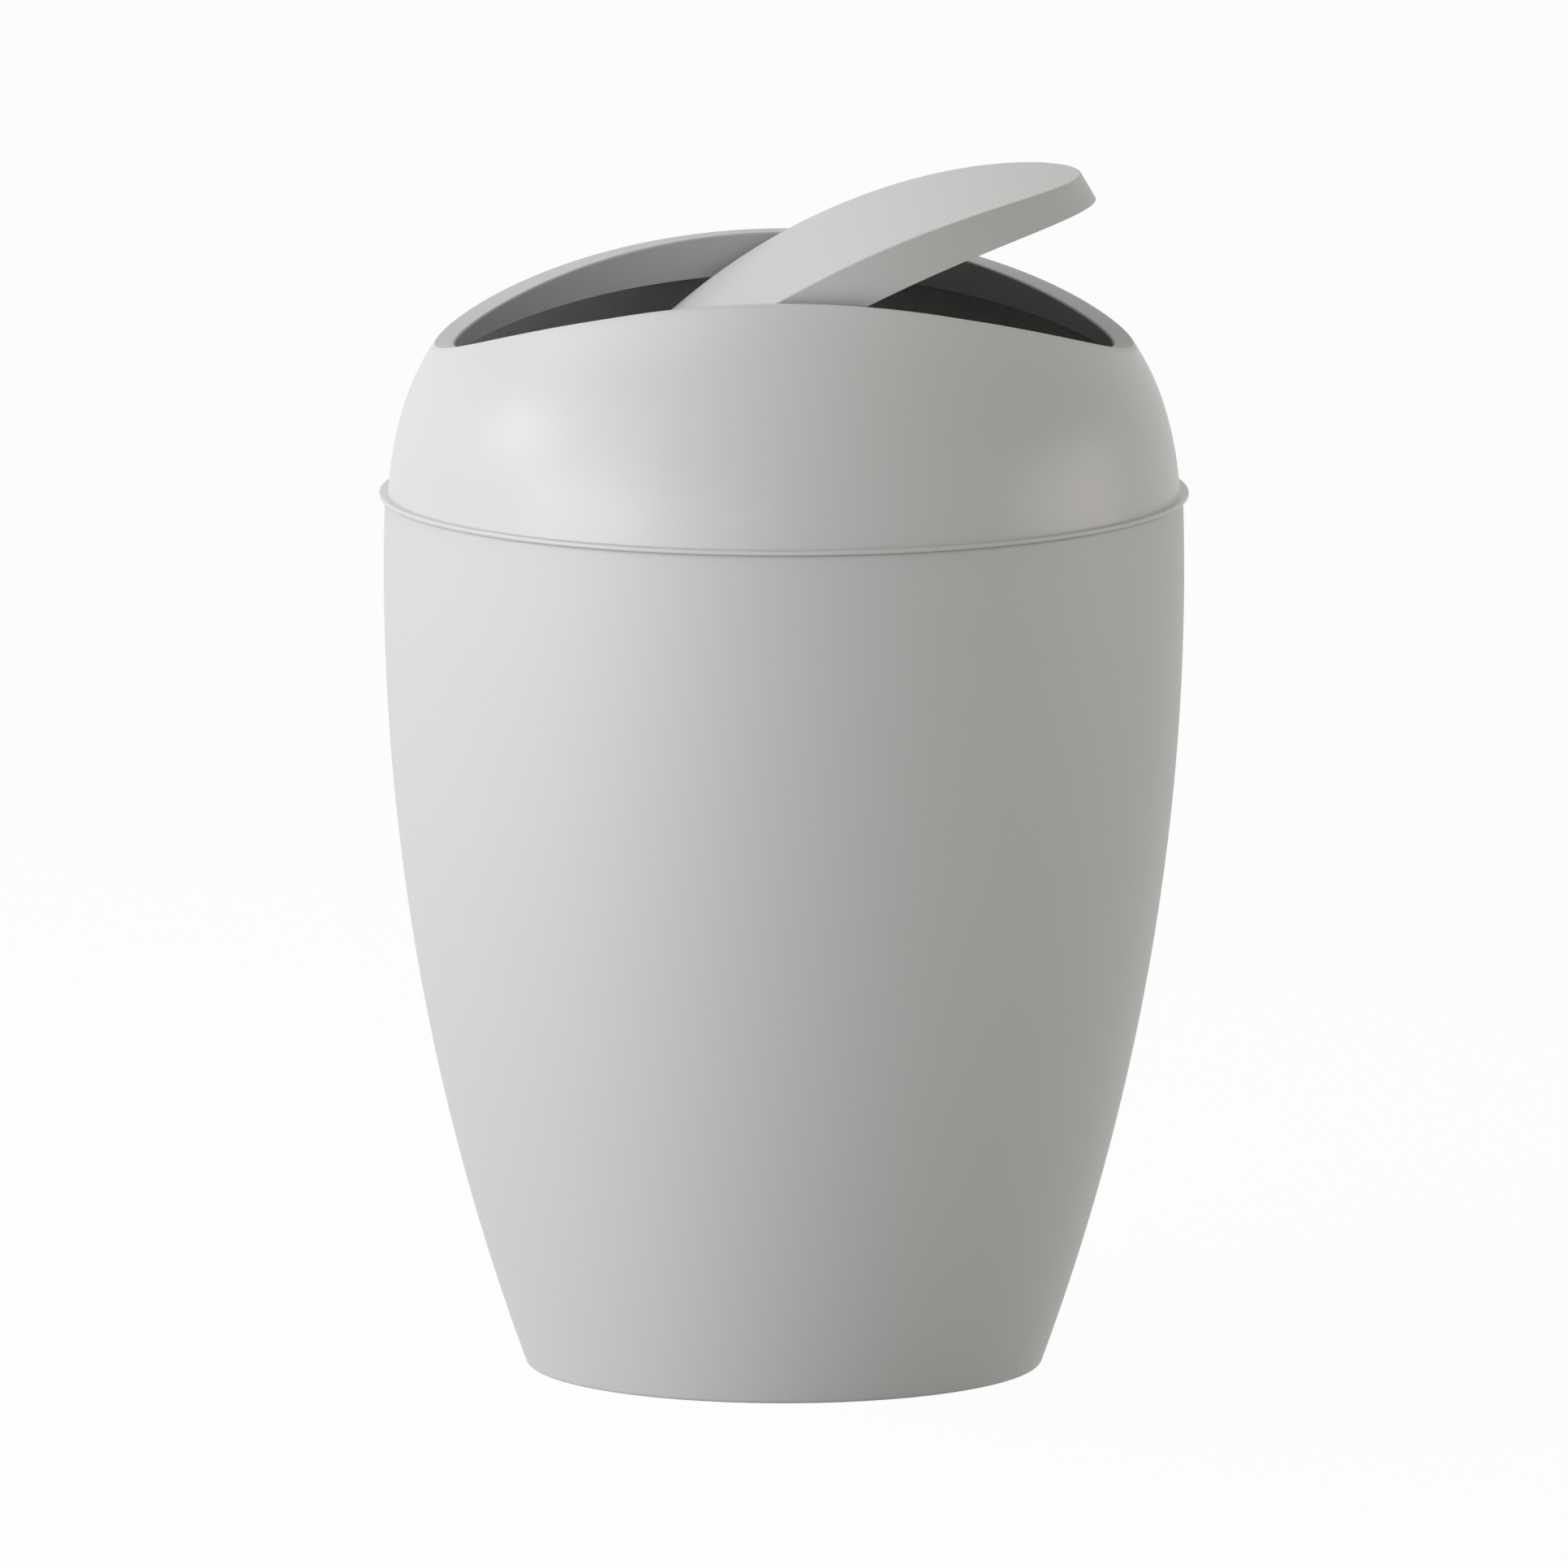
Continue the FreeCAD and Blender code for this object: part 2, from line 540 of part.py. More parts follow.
def make_flap_shell():
    """The flap's upper shell: bowed top, straight edge, hollow below, with pin bosses and stop nibs."""
    blank = boolean("MultiCommon", "FlapBlank", flap_column("FlapColumn"),
                    crowned_roller("FlapTop", "<flap_top_arc>", FLAP_CROWN))
    base = crowned_roller("FlapBase", "<flap_base_arc>", FLAP_BASE)
    sharp = boolean("Cut", "FlapTrimmed", blank, base)
    doc.recompute()
    crown = size("pivot_depth") - size("lip_fall") - size("flap_sink")
    inset = size("lip_width") + size("flap_gap")
    oval = (size("mouth_half_length") - inset, size("mouth_half_depth") - inset)
    edges = oval_edges(sharp.Shape, *oval, lambda x: crown - drop(size("flap_top_arc"), x))
    solid = rounded("FlapRounded", sharp, edges, size("flap_round"))
    roof = crowned_roller("HollowTop", "<flap_top_arc> - <flap_wall>", f"{FLAP_CROWN} - <flap_wall>")
    hollow = boolean("MultiCommon", "FlapHollow", flap_column("HollowColumn", "<flap_wall>"), roof)
    lifted = "<cover_thickness> + <cover_clearance>"
    seat = boolean("MultiCommon", "CoverSeat", flap_column("SeatColumn", "<cover_land>"),
                   crowned_roller("SeatTop", f"<flap_base_arc> + {lifted}", f"{FLAP_BASE} + {lifted}"))
    shell = boolean("Cut", "FlapShell", boolean("Cut", "FlapHollowed", solid, hollow), seat)
    depth = "(<mouth_half_depth> - <lip_width> - <flap_gap>)"
    added = []
    drilled = []
    for side, tag in ((1, "Rear"), (-1, "Front")):
        length = "(<flap_boss_length> + <flap_wall>)"
        start = f"{depth} - {length}" if side > 0 else f"-{depth} + <cover_land>"
        boss_length = f"{length} - <cover_land>"
        added.append(cylinder_along_y(f"{tag}PinBoss", "<flap_boss_radius>", start, boss_length))
        nib_start = f"{depth} - <flap_wall> / 2" if side > 0 else f"-{depth} - <stop_proud>"
        added.append(block(f"{tag}StopNib", "-<nib_width> / 2", nib_start, "<nib_inner>",
                           "<nib_width>", "<stop_proud> + <flap_wall> / 2", "<nib_length>"))
        hole_start = f"{depth} - {length} - <stop_proud>" if side > 0 else f"-{depth} - <stop_proud>"
        drilled.append(cylinder_along_y(f"{tag}PinHole", "<pin_radius> + <pin_push>", hole_start,
                                        f"{length} + 2 * <stop_proud>"))
    with_bosses = boolean("MultiFuse", "FlapWithBosses", shell, *added)
    holes = boolean("MultiFuse", "PinHoles", *drilled)
    return tip_open(boolean("Cut", "flap_shell", with_bosses, holes))


def make_flap_cover():
    """The flap's lower cover: a thin curved plate that snaps into a step in the shell's edge."""
    column = flap_column("CoverColumn", "(<cover_land> + <cover_clearance>)")
    top = crowned_roller("CoverTop", "<flap_base_arc> + <cover_thickness>",
                         f"{FLAP_BASE} + <cover_thickness>")
    plate = boolean("MultiCommon", "CoverBlank", column, top)
    under = crowned_roller("CoverUnder", "<flap_base_arc>", FLAP_BASE)
    return tip_open(boolean("Cut", "flap_cover", plate, under))


def make_pin(name, turn):
    """A headed pivot pin with its head inside the flap and its tip in the collar's bearing.

    It is made along +Y and then turned about the vertical axis to the side it belongs to.
    """
    seat = "(<mouth_half_depth> - <lip_width> - <flap_gap> - <flap_wall> - <flap_boss_length>)"
    tip = "(<mouth_half_depth> - <lip_width> + <lip_wall> + <bearing_length> - <pin_recess>)"
    shank = cylinder_along_y(f"{name}Shank", "<pin_radius>", seat, f"{tip} - {seat}")
    head = cylinder_along_y(f"{name}Head", "<pin_head_radius>",
                            f"{seat} - <pin_head_length>", "<pin_head_length>")
    pin = boolean("MultiFuse", name, shank, head)
    pin.Placement.Rotation = FreeCAD.Rotation(FreeCAD.Vector(0, 0, 1), turn)
    return bind(pin, {"Placement.Base.z": PIVOT_HEIGHT})


# ------------------------------------------------------------------ building and writing

WORKED_OUT = [
    ("flange_radius", flange_radius, "outer radius of the flange that rests on the rim"),
    ("dome_radius", dome_radius, "greatest radius of the dome"),
    ("spigot_radius", spigot_radius, "outer radius of the ring that centres the collar"),
    ("mouth_half_length", mouth_half_length, "half the mouth along X, where its arc meets the dome"),
    ("mouth_half_depth", mouth_half_depth, "half the mouth along Y, at its crown"),
]

for row, (alias, value, meaning) in enumerate(SIZES, start=1):
    add_cell(row, alias, value, meaning)
doc.recompute()
for row, (alias, work_out, meaning) in enumerate(WORKED_OUT, start=len(SIZES) + 1):
    add_cell(row, alias, work_out(), meaning)
    doc.recompute()

SUB_PARTS = [make_bin(), make_collar(), make_flap_shell(), make_flap_cover(),
             make_pin("rear_pivot_pin", 0), make_pin("front_pivot_pin", 180)]
doc.recompute()

for thing in doc.Objects:
    if "Invalid" in thing.State or "Error" in thing.State:
        raise RuntimeError(f"{thing.Name} failed: {thing.State}")
for part in SUB_PARTS:
    part.Label = part.Name
    if part.Shape.isNull() or not part.Shape.isValid():
        raise RuntimeError(f"{part.Name} has no valid shape")
os.makedirs("parts", exist_ok=True)
for part in SUB_PARTS:
    solids = len(part.Shape.Solids)
    print(f"{part.Label}: {solids} solid(s), {part.Shape.Volume / 1000:.2f} cm3")
    part.Shape.exportStep(f"parts/{part.Label}.step")
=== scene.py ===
"""A swing-lid wastebasket in satin grey plastic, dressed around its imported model.

Every shell is a surface worked out with numpy: rows of points that run round the piece, one row
for each place along its section. Corners of a section are rounded by true arcs.
Heights of the lid's pieces count from the rim of the bin, and the flap's from its pivot axis.
"""

import json
import math

import bpy
import numpy as np
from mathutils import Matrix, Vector


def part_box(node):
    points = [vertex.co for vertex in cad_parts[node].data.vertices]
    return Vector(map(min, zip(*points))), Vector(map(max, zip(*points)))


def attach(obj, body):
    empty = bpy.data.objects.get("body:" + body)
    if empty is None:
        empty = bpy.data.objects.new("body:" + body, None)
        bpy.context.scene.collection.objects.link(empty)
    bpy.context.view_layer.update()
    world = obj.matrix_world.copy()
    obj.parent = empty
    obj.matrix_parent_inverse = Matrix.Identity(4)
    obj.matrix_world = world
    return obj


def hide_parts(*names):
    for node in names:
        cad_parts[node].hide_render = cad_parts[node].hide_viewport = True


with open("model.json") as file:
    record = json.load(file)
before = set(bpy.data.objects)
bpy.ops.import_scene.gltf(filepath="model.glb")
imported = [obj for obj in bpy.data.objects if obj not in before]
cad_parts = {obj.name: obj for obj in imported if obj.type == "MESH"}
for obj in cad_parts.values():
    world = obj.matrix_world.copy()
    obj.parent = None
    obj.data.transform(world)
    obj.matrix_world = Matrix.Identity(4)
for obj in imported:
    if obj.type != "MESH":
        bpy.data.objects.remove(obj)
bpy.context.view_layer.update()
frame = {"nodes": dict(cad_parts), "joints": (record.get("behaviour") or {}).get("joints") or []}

MM = 0.001
COLUMNS = 320        # points round each shell
ARC_STEPS = 6        # rows that carry a rounded corner
HOLD = 0.12 * MM     # distance of the row that keeps a flat side flat beside a rounded corner
POLE = 1e-9          # a row smaller than this is a single point

# ------------------------------------------------------------------ sizes, as the model has them

joint_of = {joint["name"]: joint for joint in frame["joints"]}
PIVOT = joint_of["flap_swing"]["pos_m"][2]
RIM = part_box("bin_body")[1].z
FLANGE_RADIUS = min(abs(place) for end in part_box("lid_collar") for place in end.xy)
SPIGOT_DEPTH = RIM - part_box("lid_collar")[0].z

BELLY_RADIUS = 129.5 * MM
BELLY_HEIGHT = 259.0 * MM
SIDE_ARC = 750.0 * MM
BIN_WALL = 2.2 * MM
FLOOR_THICKNESS = 2.5 * MM
FOOT_WIDTH = 9.0 * MM
FOOT_RECESS = 1.5 * MM
BASE_ROUND = 1.5 * MM
RIM_ROUND = 1.3 * MM

FLANGE_THICKNESS = 1.4 * MM
FLANGE_ROUND = 0.5 * MM
SPIGOT_WALL = 1.8 * MM
SPIGOT_CLEARANCE = 0.4 * MM
FLANGE_STEP = 2.7 * MM
DOME_RADIUS = FLANGE_RADIUS - FLANGE_STEP
DOME_DROP = 5.3 * MM
DOME_ARC = 115.0 * MM
SHOULDER_HEIGHT = 27.4 * MM
SHOULDER_ARC = 80.4 * MM
DOME_WALL = 2.2 * MM
MOUTH_CROWN = 74.6 * MM
MOUTH_ARC = 267.5 * MM
LIP_WIDTH = 6.7 * MM
LIP_FALL = 0.4 * MM
LIP_WALL = 2.0 * MM
LIP_ROUND = 0.6 * MM
APRON_DEPTH = 14.1 * MM
APRON_ARC = 358.0 * MM
SMALL_ROUND = 0.3 * MM
FINE_ROUND = SMALL_ROUND / 2

FLAP_GAP = 3.7 * MM
FLAP_TILT = math.radians(30.3)
PIVOT_DEPTH = RIM + MOUTH_CROWN - PIVOT
FLAP_SINK = 0.1 * MM
FLAP_CROWN = PIVOT_DEPTH - LIP_FALL - FLAP_SINK
FLAP_TOP_ARC = 244.2 * MM
FLAP_BASE_ARC = 311.9 * MM
FLAP_HEIGHT = 15.2 * MM
FLAP_BASE = FLAP_CROWN - FLAP_HEIGHT
FLAP_WALL = 2.0 * MM
FLAP_ROUND = 0.8 * MM
COVER_THICKNESS = 1.6 * MM
COVER_LAND = 1.1 * MM
COVER_CLEARANCE = 0.15 * MM

PIN_RADIUS = 2.5 * MM
PIN_RUNNING = 0.05 * MM
BEARING_RADIUS = 5.2 * MM
BEARING_PROUD = 0.9 * MM
BEARING_LENGTH = 4.5 * MM
STOP_PROUD = 2.25 * MM
NIB_WIDTH = 3.0 * MM
NIB_INNER = 5.4 * MM
NIB_LENGTH = 2.1 * MM
LEDGE_DROP = 1.0 * MM
LEDGE_HEIGHT = 2.0 * MM
LEDGE_LENGTH = 4.5 * MM

INSIDE_PAINTED_LIGHT = 0.17      # painted light: how much paler the inner walls are painted, standing in for light that shines through them from outside
APRON_PAINTED_SHADE = -0.37      # painted shade: how much darker the inner wall of the mouth is painted, where it lies in shade
MATTE = 0.18             # how much rougher the lip and that inner wall are


def drop(arc, x):
    """How far an arc of this radius has fallen from its crown at the distance x."""
    return arc - np.sqrt(arc**2 - x**2)


# ------------------------------------------------------------------ rows, corners and meshes

TURN = np.arange(COLUMNS) * 2 * math.pi / COLUMNS
COS = np.cos(TURN)
SIN = np.sin(TURN)


def oval_row(half_x, half_y, z):
    """A row with the point (half_x cos a, half_y sin a, z) at angle a; z may change round it."""
    return np.stack([half_x * COS, half_y * SIN, np.broadcast_to(z, COLUMNS)], axis=1)


def ring_row(radius, z):
    """A round row."""
    return oval_row(radius, radius, z)


def unit(vectors):
    """Each vector at length 1."""
    return vectors / np.linalg.norm(vectors, axis=-1, keepdims=True)


def corner(before, at, after, radius):
    """Rows of a rounded corner: in each column an arc of this radius touches both of its sides.

    With u and v the directions to both sides and w half the angle between them, the arc's ends lie
    radius / tan w from the corner, and its centre lies radius / sin w along the bisector. One more
    row on each side, HOLD beyond the arc, keeps that side flat."""
    u = unit(before - at)
    v = unit(after - at)
    half = np.arccos(np.clip((u * v).sum(-1, keepdims=True), -1, 1)) / 2
    reach = radius / np.tan(half)
    centre = at + unit(u + v) * radius / np.sin(half)
    first = at + u * reach - centre
    last = at + v * reach - centre
    sweep = math.pi - 2 * half
    rows = [at + u * (reach + HOLD)]
    for step in range(ARC_STEPS + 1):
        share = step / ARC_STEPS
        spoke = np.sin((1 - share) * sweep) * first + np.sin(share * sweep) * last
        rows.append(centre + spoke / np.sin(sweep))
    rows.append(at + v * (reach + HOLD))
    return rows


def between(first, last, count):
    """count rows strictly between two rows, on straight lines."""
    return [first + (last - first) * step / (count + 1) for step in range(1, count + 1)]


def grid_faces(rows, columns, closed):
    """Quads between neighbouring rows; closed also joins the last row to the first."""
    tall = rows if closed else rows - 1
    i = np.arange(tall)[:, None]
    j = np.arange(columns)[None, :]
    up = (i + 1) % rows
    right = (j + 1) % columns
    quads = np.stack(np.broadcast_arrays(i * columns + j, i * columns + right,
                                         up * columns + right, up * columns + j), axis=-1)
    return quads.reshape(-1, 4)


def add_mesh(name, points, quads, triangles, masks):
    """A smooth object from arrays, with its masks as attributes.

    Six times its volume is the sum, over its triangles, of a . (b x c); where that is negative, the
    faces look inwards and are turned round."""
    a, b, c, d = (points[quads[:, k]] for k in range(4))
    volume = np.einsum("ij,ij->", a, np.cross(b, c)) + np.einsum("ij,ij->", a, np.cross(c, d))
    if len(triangles):
        p, q, r = (points[triangles[:, k]] for k in range(3))
        volume += np.einsum("ij,ij->", p, np.cross(q, r))
    if volume < 0:
        quads = quads[:, ::-1]
        triangles = triangles[:, ::-1]
    mesh = bpy.data.meshes.new(name)
    mesh.vertices.add(len(points))
    mesh.vertices.foreach_set("co", points.astype(np.float32).ravel())
    loops = np.concatenate([quads.ravel(), triangles.ravel()])
    mesh.loops.add(len(loops))
    mesh.loops.foreach_set("vertex_index", loops.astype(np.int32))
    sizes = np.concatenate([np.full(len(quads), 4), np.full(len(triangles), 3)])
    mesh.polygons.add(len(sizes))
    mesh.polygons.foreach_set("loop_start", (np.cumsum(sizes) - sizes).astype(np.int32))
    mesh.polygons.foreach_set("use_smooth", np.ones(len(sizes), bool))
    mesh.update(calc_edges=True)
    mesh.validate()
    for mask, values in masks.items():
        attribute = mesh.attributes.new(mask, "FLOAT", "POINT")
        attribute.data.foreach_set("value", values.astype(np.float32))
    piece = bpy.data.objects.new(name, mesh)
    bpy.context.scene.collection.objects.link(piece)
    return piece


def shell(name, rows, place=None, **masks):
    """A closed piece from rows. It starts and ends in a pole, a row that shrinks to one point, or,
    where neither is one, the last row meets the first.

    place carries the points to where the piece stands. masks are attributes, each with one value
    for each row: one of them is painted light and shade, the share by which the colour is painted
    paler (above 0) or darker (below 0) than the plastic, and matte adds to its roughness."""
    count = len(rows)
    columns = len(rows[0])
    points = np.concatenate(rows)
    if min(np.ptp(row, axis=0).max() for row in (rows[0], rows[-1])) > POLE:
        masks = {mask: np.repeat(values, columns) for mask, values in masks.items()}
        quads = grid_faces(count, columns, True)
        return add_mesh(name, placed(points, place), quads, np.zeros((0, 3), int), masks)
    body = points[columns:-columns]
    around = np.arange(columns)
    following = (around + 1) % columns
    top = len(body)
    foot = top + 1
    end = (count - 3) * columns
    triangles = np.concatenate([
        np.stack([np.full(columns, top), following, around], axis=1),
        np.stack([np.full(columns, foot), end + around, end + following], axis=1)])
    points = np.concatenate([body, points[:1], points[-1:]])
    masks = {mask: np.append(np.repeat(values[1:-1], columns), (values[0], values[-1]))
             for mask, values in masks.items()}
    quads = grid_faces(count - 2, columns, False)
    return add_mesh(name, placed(points, place), quads, triangles, masks)


def placed(points, place):
    """The points where the piece stands."""
    return points if place is None else place(points)


def on_rim(points):
    """From heights above the rim to heights above the floor."""
    return points + np.array([0, 0, RIM])


def on_pivot(points):
    """From the shut flap's place about its axis to the tipped flap's place in the bin."""
    x, y, z = points.T
    turned_x = x * math.cos(FLAP_TILT) - z * math.sin(FLAP_TILT)
    turned_z = x * math.sin(FLAP_TILT) + z * math.cos(FLAP_TILT)
    return np.stack([turned_x, y, turned_z + PIVOT], axis=1)


# ------------------------------------------------------------------ the bin

def side_radius(height, inset=0.0):
    """The radius of the bin's side, an arc about a centre beyond the axis, less an inset."""
    return BELLY_RADIUS - SIDE_ARC + np.sqrt((SIDE_ARC - inset)**2 - (height - BELLY_HEIGHT)**2)


BIN_ROWS = 90          # rows up the side of the bin, and down inside it
BIN_INSIDE_ROWS = 60
FLOOR_ROWS = 12        # rows across the floor, and across its underside
UNDER_ROWS = 10
BIN_NEAR = 2.0 * MM    # where the side's rows leave off beside a corner


def make_bin():
    """The bin as a turned shell: the section runs from the axis under the floor, out over the
    standing ring, up the long arc, over the rim, down inside and back to the axis on the floor."""
    floor_top = FOOT_RECESS + FLOOR_THICKNESS
    foot_outer = side_radius(0)
    foot_inner = foot_outer - FOOT_WIDTH
    top = RIM - BIN_NEAR

    def wall_rows(low, high, inset, count):
        levels = np.linspace(low, high, count)
        return [ring_row(side_radius(level, inset), level) for level in levels]

    under = ring_row(foot_inner, FOOT_RECESS)
    step = ring_row(foot_inner, 0)
    edge = ring_row(foot_outer, 0)
    rim_outer = ring_row(side_radius(RIM), RIM)
    rim_inner = ring_row(side_radius(RIM, BIN_WALL), RIM)
    corner_inside = ring_row(side_radius(floor_top, BIN_WALL), floor_top)
    middle = ring_row(0, FOOT_RECESS)
    floor_middle = ring_row(0, floor_top)
    beside_foot = ring_row(side_radius(BIN_NEAR), BIN_NEAR)
    rows = [middle] + between(middle, under, UNDER_ROWS)
    rows += corner(middle, under, step, SMALL_ROUND)
    rows += corner(under, step, edge, SMALL_ROUND)
    rows += corner(step, edge, beside_foot, BASE_ROUND)
    rows += wall_rows(BIN_NEAR, top, 0, BIN_ROWS)
    rows += corner(rows[-1], rim_outer, rim_inner, RIM_ROUND)
    rows += corner(rim_outer, rim_inner, ring_row(side_radius(top, BIN_WALL), top), SMALL_ROUND)
    outside = len(rows)
    rows += wall_rows(top, floor_top + BIN_NEAR, BIN_WALL, BIN_INSIDE_ROWS)
    rows += corner(rows[-1], corner_inside, floor_middle, BASE_ROUND)
    rows += between(rows[-1], floor_middle, FLOOR_ROWS) + [floor_middle]
    # painted light: the walls inside the bin are painted paler than the outside
    return shell("bin_skin", rows, shade=np.where(np.arange(len(rows)) < outside, 0, INSIDE_PAINTED_LIGHT))


# ------------------------------------------------------------------ the lid collar

def dome_centres():
    """The centres of the dome's side arc and shoulder arc: distance from the axis, and height."""
    side = np.array([DOME_RADIUS - DOME_ARC, -DOME_DROP])
    rise = math.asin((SHOULDER_HEIGHT + DOME_DROP) / DOME_ARC)
    return side, side + (DOME_ARC - SHOULDER_ARC) * np.array([math.cos(rise), math.sin(rise)])


def dome_radius(height, inset=0.0):
    """The dome's radius less an inset: the side arc below the junction, the shoulder arc above."""
    side, shoulder = dome_centres()
    rise = math.asin((SHOULDER_HEIGHT + DOME_DROP) / DOME_ARC)
    junction = side[1] + (DOME_ARC - inset) * math.sin(rise)
    low = side[0] + np.sqrt((DOME_ARC - inset)**2 - (np.minimum(height, junction) - side[1])**2)
    squared = (SHOULDER_ARC - inset)**2 - (height - shoulder[1])**2
    high = shoulder[0] + np.sqrt(np.maximum(squared, 0))
    return np.where(height < junction, low, high)


def mouth_height(x):
    """The height of the mouth's edge at a distance x along the mouth."""
    return MOUTH_CROWN - drop(MOUTH_ARC, x)


HALVINGS = 60          # steps in the search for the end of the mouth


def mouth_reach():
    """Half the length and half the depth of the mouth, where its arc meets the dome."""
    length = DOME_RADIUS
    for _ in range(HALVINGS):
        length = (length + float(dome_radius(mouth_height(length)))) / 2
    return length, float(dome_radius(MOUTH_CROWN))


MOUTH_LENGTH, MOUTH_DEPTH = mouth_reach()


def lip_row(growth, outward, sink):
    """A row of the lip, level along its length and falling inwards by LIP_FALL in front and behind.

    growth widens the oval inside the mouth's edge, outward is the distance from that edge along the
    lip's slope, and sink lowers the row."""
    slope = LIP_FALL / LIP_WIDTH * outward * SIN**2
    height = mouth_height(MOUTH_LENGTH * COS) + slope - sink
    return oval_row(MOUTH_LENGTH + growth, MOUTH_DEPTH + growth, height)


def on_dome(row, inset=0.0):
    """The same row moved out or in until it lies on the dome, its angles and heights kept."""
    angle = np.arctan2(row[:, 1], row[:, 0])
    radius = dome_radius(row[:, 2], inset)
    return np.stack([radius * np.cos(angle), radius * np.sin(angle), row[:, 2]], axis=1)


def meridian(edge, height, inset=0.0):
    """A row at another height on the dome, at the edge's angles; height may change round it."""
    angle = np.arctan2(edge[:, 1], edge[:, 0])
    level = np.broadcast_to(height, len(edge))
    radius = dome_radius(level, inset)
    return np.stack([radius * np.cos(angle), radius * np.sin(angle), level], axis=1)


DOME_ROWS = 70         # rows up the dome, and down inside it
DOME_INSIDE_ROWS = 40
LIP_ROWS = 5
APRON_ROWS = 8
BEHIND_ROWS = 6
DOME_NEAR = 1.0 * MM   # where the dome's rows leave off beside a corner


def make_collar():
    """The collar as a closed ring: spigot, flange, dome, lip, the inner wall, and back inside."""
    spigot = float(side_radius(RIM, BIN_WALL)) - SPIGOT_CLEARANCE
    edge = on_dome(lip_row(0, 0, 0))
    lip_in = lip_row(-LIP_WIDTH, -LIP_WIDTH, 0)
    behind = LIP_WALL - LIP_WIDTH
    lip_under = lip_row(behind, behind, LIP_WALL)
    under_edge = on_dome(lip_row(-DOME_WALL, -DOME_WALL, LIP_WALL), DOME_WALL)
    around = np.arctan2(edge[:, 1], edge[:, 0])

    def apron_row(growth):
        half_x = MOUTH_LENGTH + growth
        low = MOUTH_CROWN - APRON_DEPTH - drop(APRON_ARC, half_x * COS)
        return oval_row(half_x, MOUTH_DEPTH + growth, low)

    def turned(radius, z):
        level = np.full(COLUMNS, z)
        return np.stack([radius * np.cos(around), radius * np.sin(around), level], axis=1)

    apron_in = apron_row(-LIP_WIDTH)
    apron_out = apron_row(behind)
    spigot_low = turned(spigot, -SPIGOT_DEPTH)
    spigot_top = turned(spigot, 0)
    flange_low = turned(FLANGE_RADIUS, 0)
    flange_top = turned(FLANGE_RADIUS, FLANGE_THICKNESS)
    foot = turned(float(dome_radius(FLANGE_THICKNESS)), FLANGE_THICKNESS)
    foot_in = turned(float(dome_radius(FLANGE_THICKNESS, DOME_WALL)), FLANGE_THICKNESS)
    step_in = turned(spigot - SPIGOT_WALL, FLANGE_THICKNESS)
    spigot_in = turned(spigot - SPIGOT_WALL, -SPIGOT_DEPTH)

    low = FLANGE_THICKNESS + DOME_NEAR
    rows = corner(spigot_in, spigot_low, spigot_top, SMALL_ROUND)
    rows += corner(spigot_low, spigot_top, flange_low, SMALL_ROUND)
    rows += corner(spigot_top, flange_low, flange_top, FLANGE_ROUND)
    rows += corner(flange_low, flange_top, foot, FLANGE_ROUND)
    rows += corner(flange_top, foot, meridian(edge, low), SMALL_ROUND)
    high = edge[:, 2] - 2 * DOME_NEAR
    rows += [meridian(edge, low + (high - low) * share) for share in np.linspace(0, 1, DOME_ROWS)]
    plain = len(rows)
    rows += corner(meridian(edge, edge[:, 2] - DOME_NEAR / 2), edge, lip_in, LIP_ROUND)
    rows += between(rows[-1], lip_in, LIP_ROWS)
    painted_shade_start = len(rows)
    rows += corner(edge, lip_in, apron_in, LIP_ROUND)
    rows += between(rows[-1], apron_in, APRON_ROWS)
    rows += corner(lip_in, apron_in, apron_out, SMALL_ROUND)
    rows += corner(apron_in, apron_out, lip_under, SMALL_ROUND)
    rows += between(rows[-1], lip_under, BEHIND_ROWS)
    painted_shade_end = len(rows)
    rows += corner(apron_out, lip_under, under_edge, SMALL_ROUND)
    below_edge = meridian(edge, under_edge[:, 2] - DOME_NEAR, DOME_WALL)
    rows += corner(lip_under, under_edge, below_edge, SMALL_ROUND)
    high = under_edge[:, 2] - 2 * DOME_NEAR
    rows += [meridian(edge, low + (high - low) * share, DOME_WALL)
             for share in np.linspace(1, 0, DOME_INSIDE_ROWS)]
    rows += corner(rows[-1], foot_in, step_in, SMALL_ROUND)
    rows += corner(foot_in, step_in, spigot_in, SMALL_ROUND)
    rows += corner(step_in, spigot_in, spigot_low, SMALL_ROUND)
    # painted shade on the mouth's inner wall, painted light on the walls beyond it inside; the dome
    # and lip keep the plastic's colour
    shade = np.full(len(rows), INSIDE_PAINTED_LIGHT)
    shade[:painted_shade_end] = APRON_PAINTED_SHADE
    shade[:painted_shade_start] = 0
    matte = np.zeros(len(rows))
    matte[plain:painted_shade_end] = MATTE
    return shell("collar_skin", rows, on_rim, shade=shade, matte=matte)


# ------------------------------------------------------------------ the flap

FLAP_LENGTH = MOUTH_LENGTH - LIP_WIDTH - FLAP_GAP
FLAP_DEPTH = MOUTH_DEPTH - LIP_WIDTH - FLAP_GAP


def bowed_row(inset, share, arc, crown):
    """A row of a surface bowed along X, on the flap's oval less an inset and shrunk to a share."""
    half_x = (FLAP_LENGTH - inset) * share
    return oval_row(half_x, (FLAP_DEPTH - inset) * share, crown - drop(arc, half_x * COS))


def bowed_disc(inset, arc, crown, count):
    """Rows of a bowed oval surface from its middle to just short of its edge."""
    shares = np.linspace(0, 1, count)[:-1]
    return [bowed_row(inset, share, arc, crown) for share in shares]


FLAP_ROWS = 48         # rows across the flap's top, its hollow and the two faces of its cover
HOLLOW_ROWS = 24
COVER_TOP_ROWS = 20
COVER_BASE_ROWS = 40
FLAP_SIDE_ROWS = 10
HOLLOW_SIDE_ROWS = 4


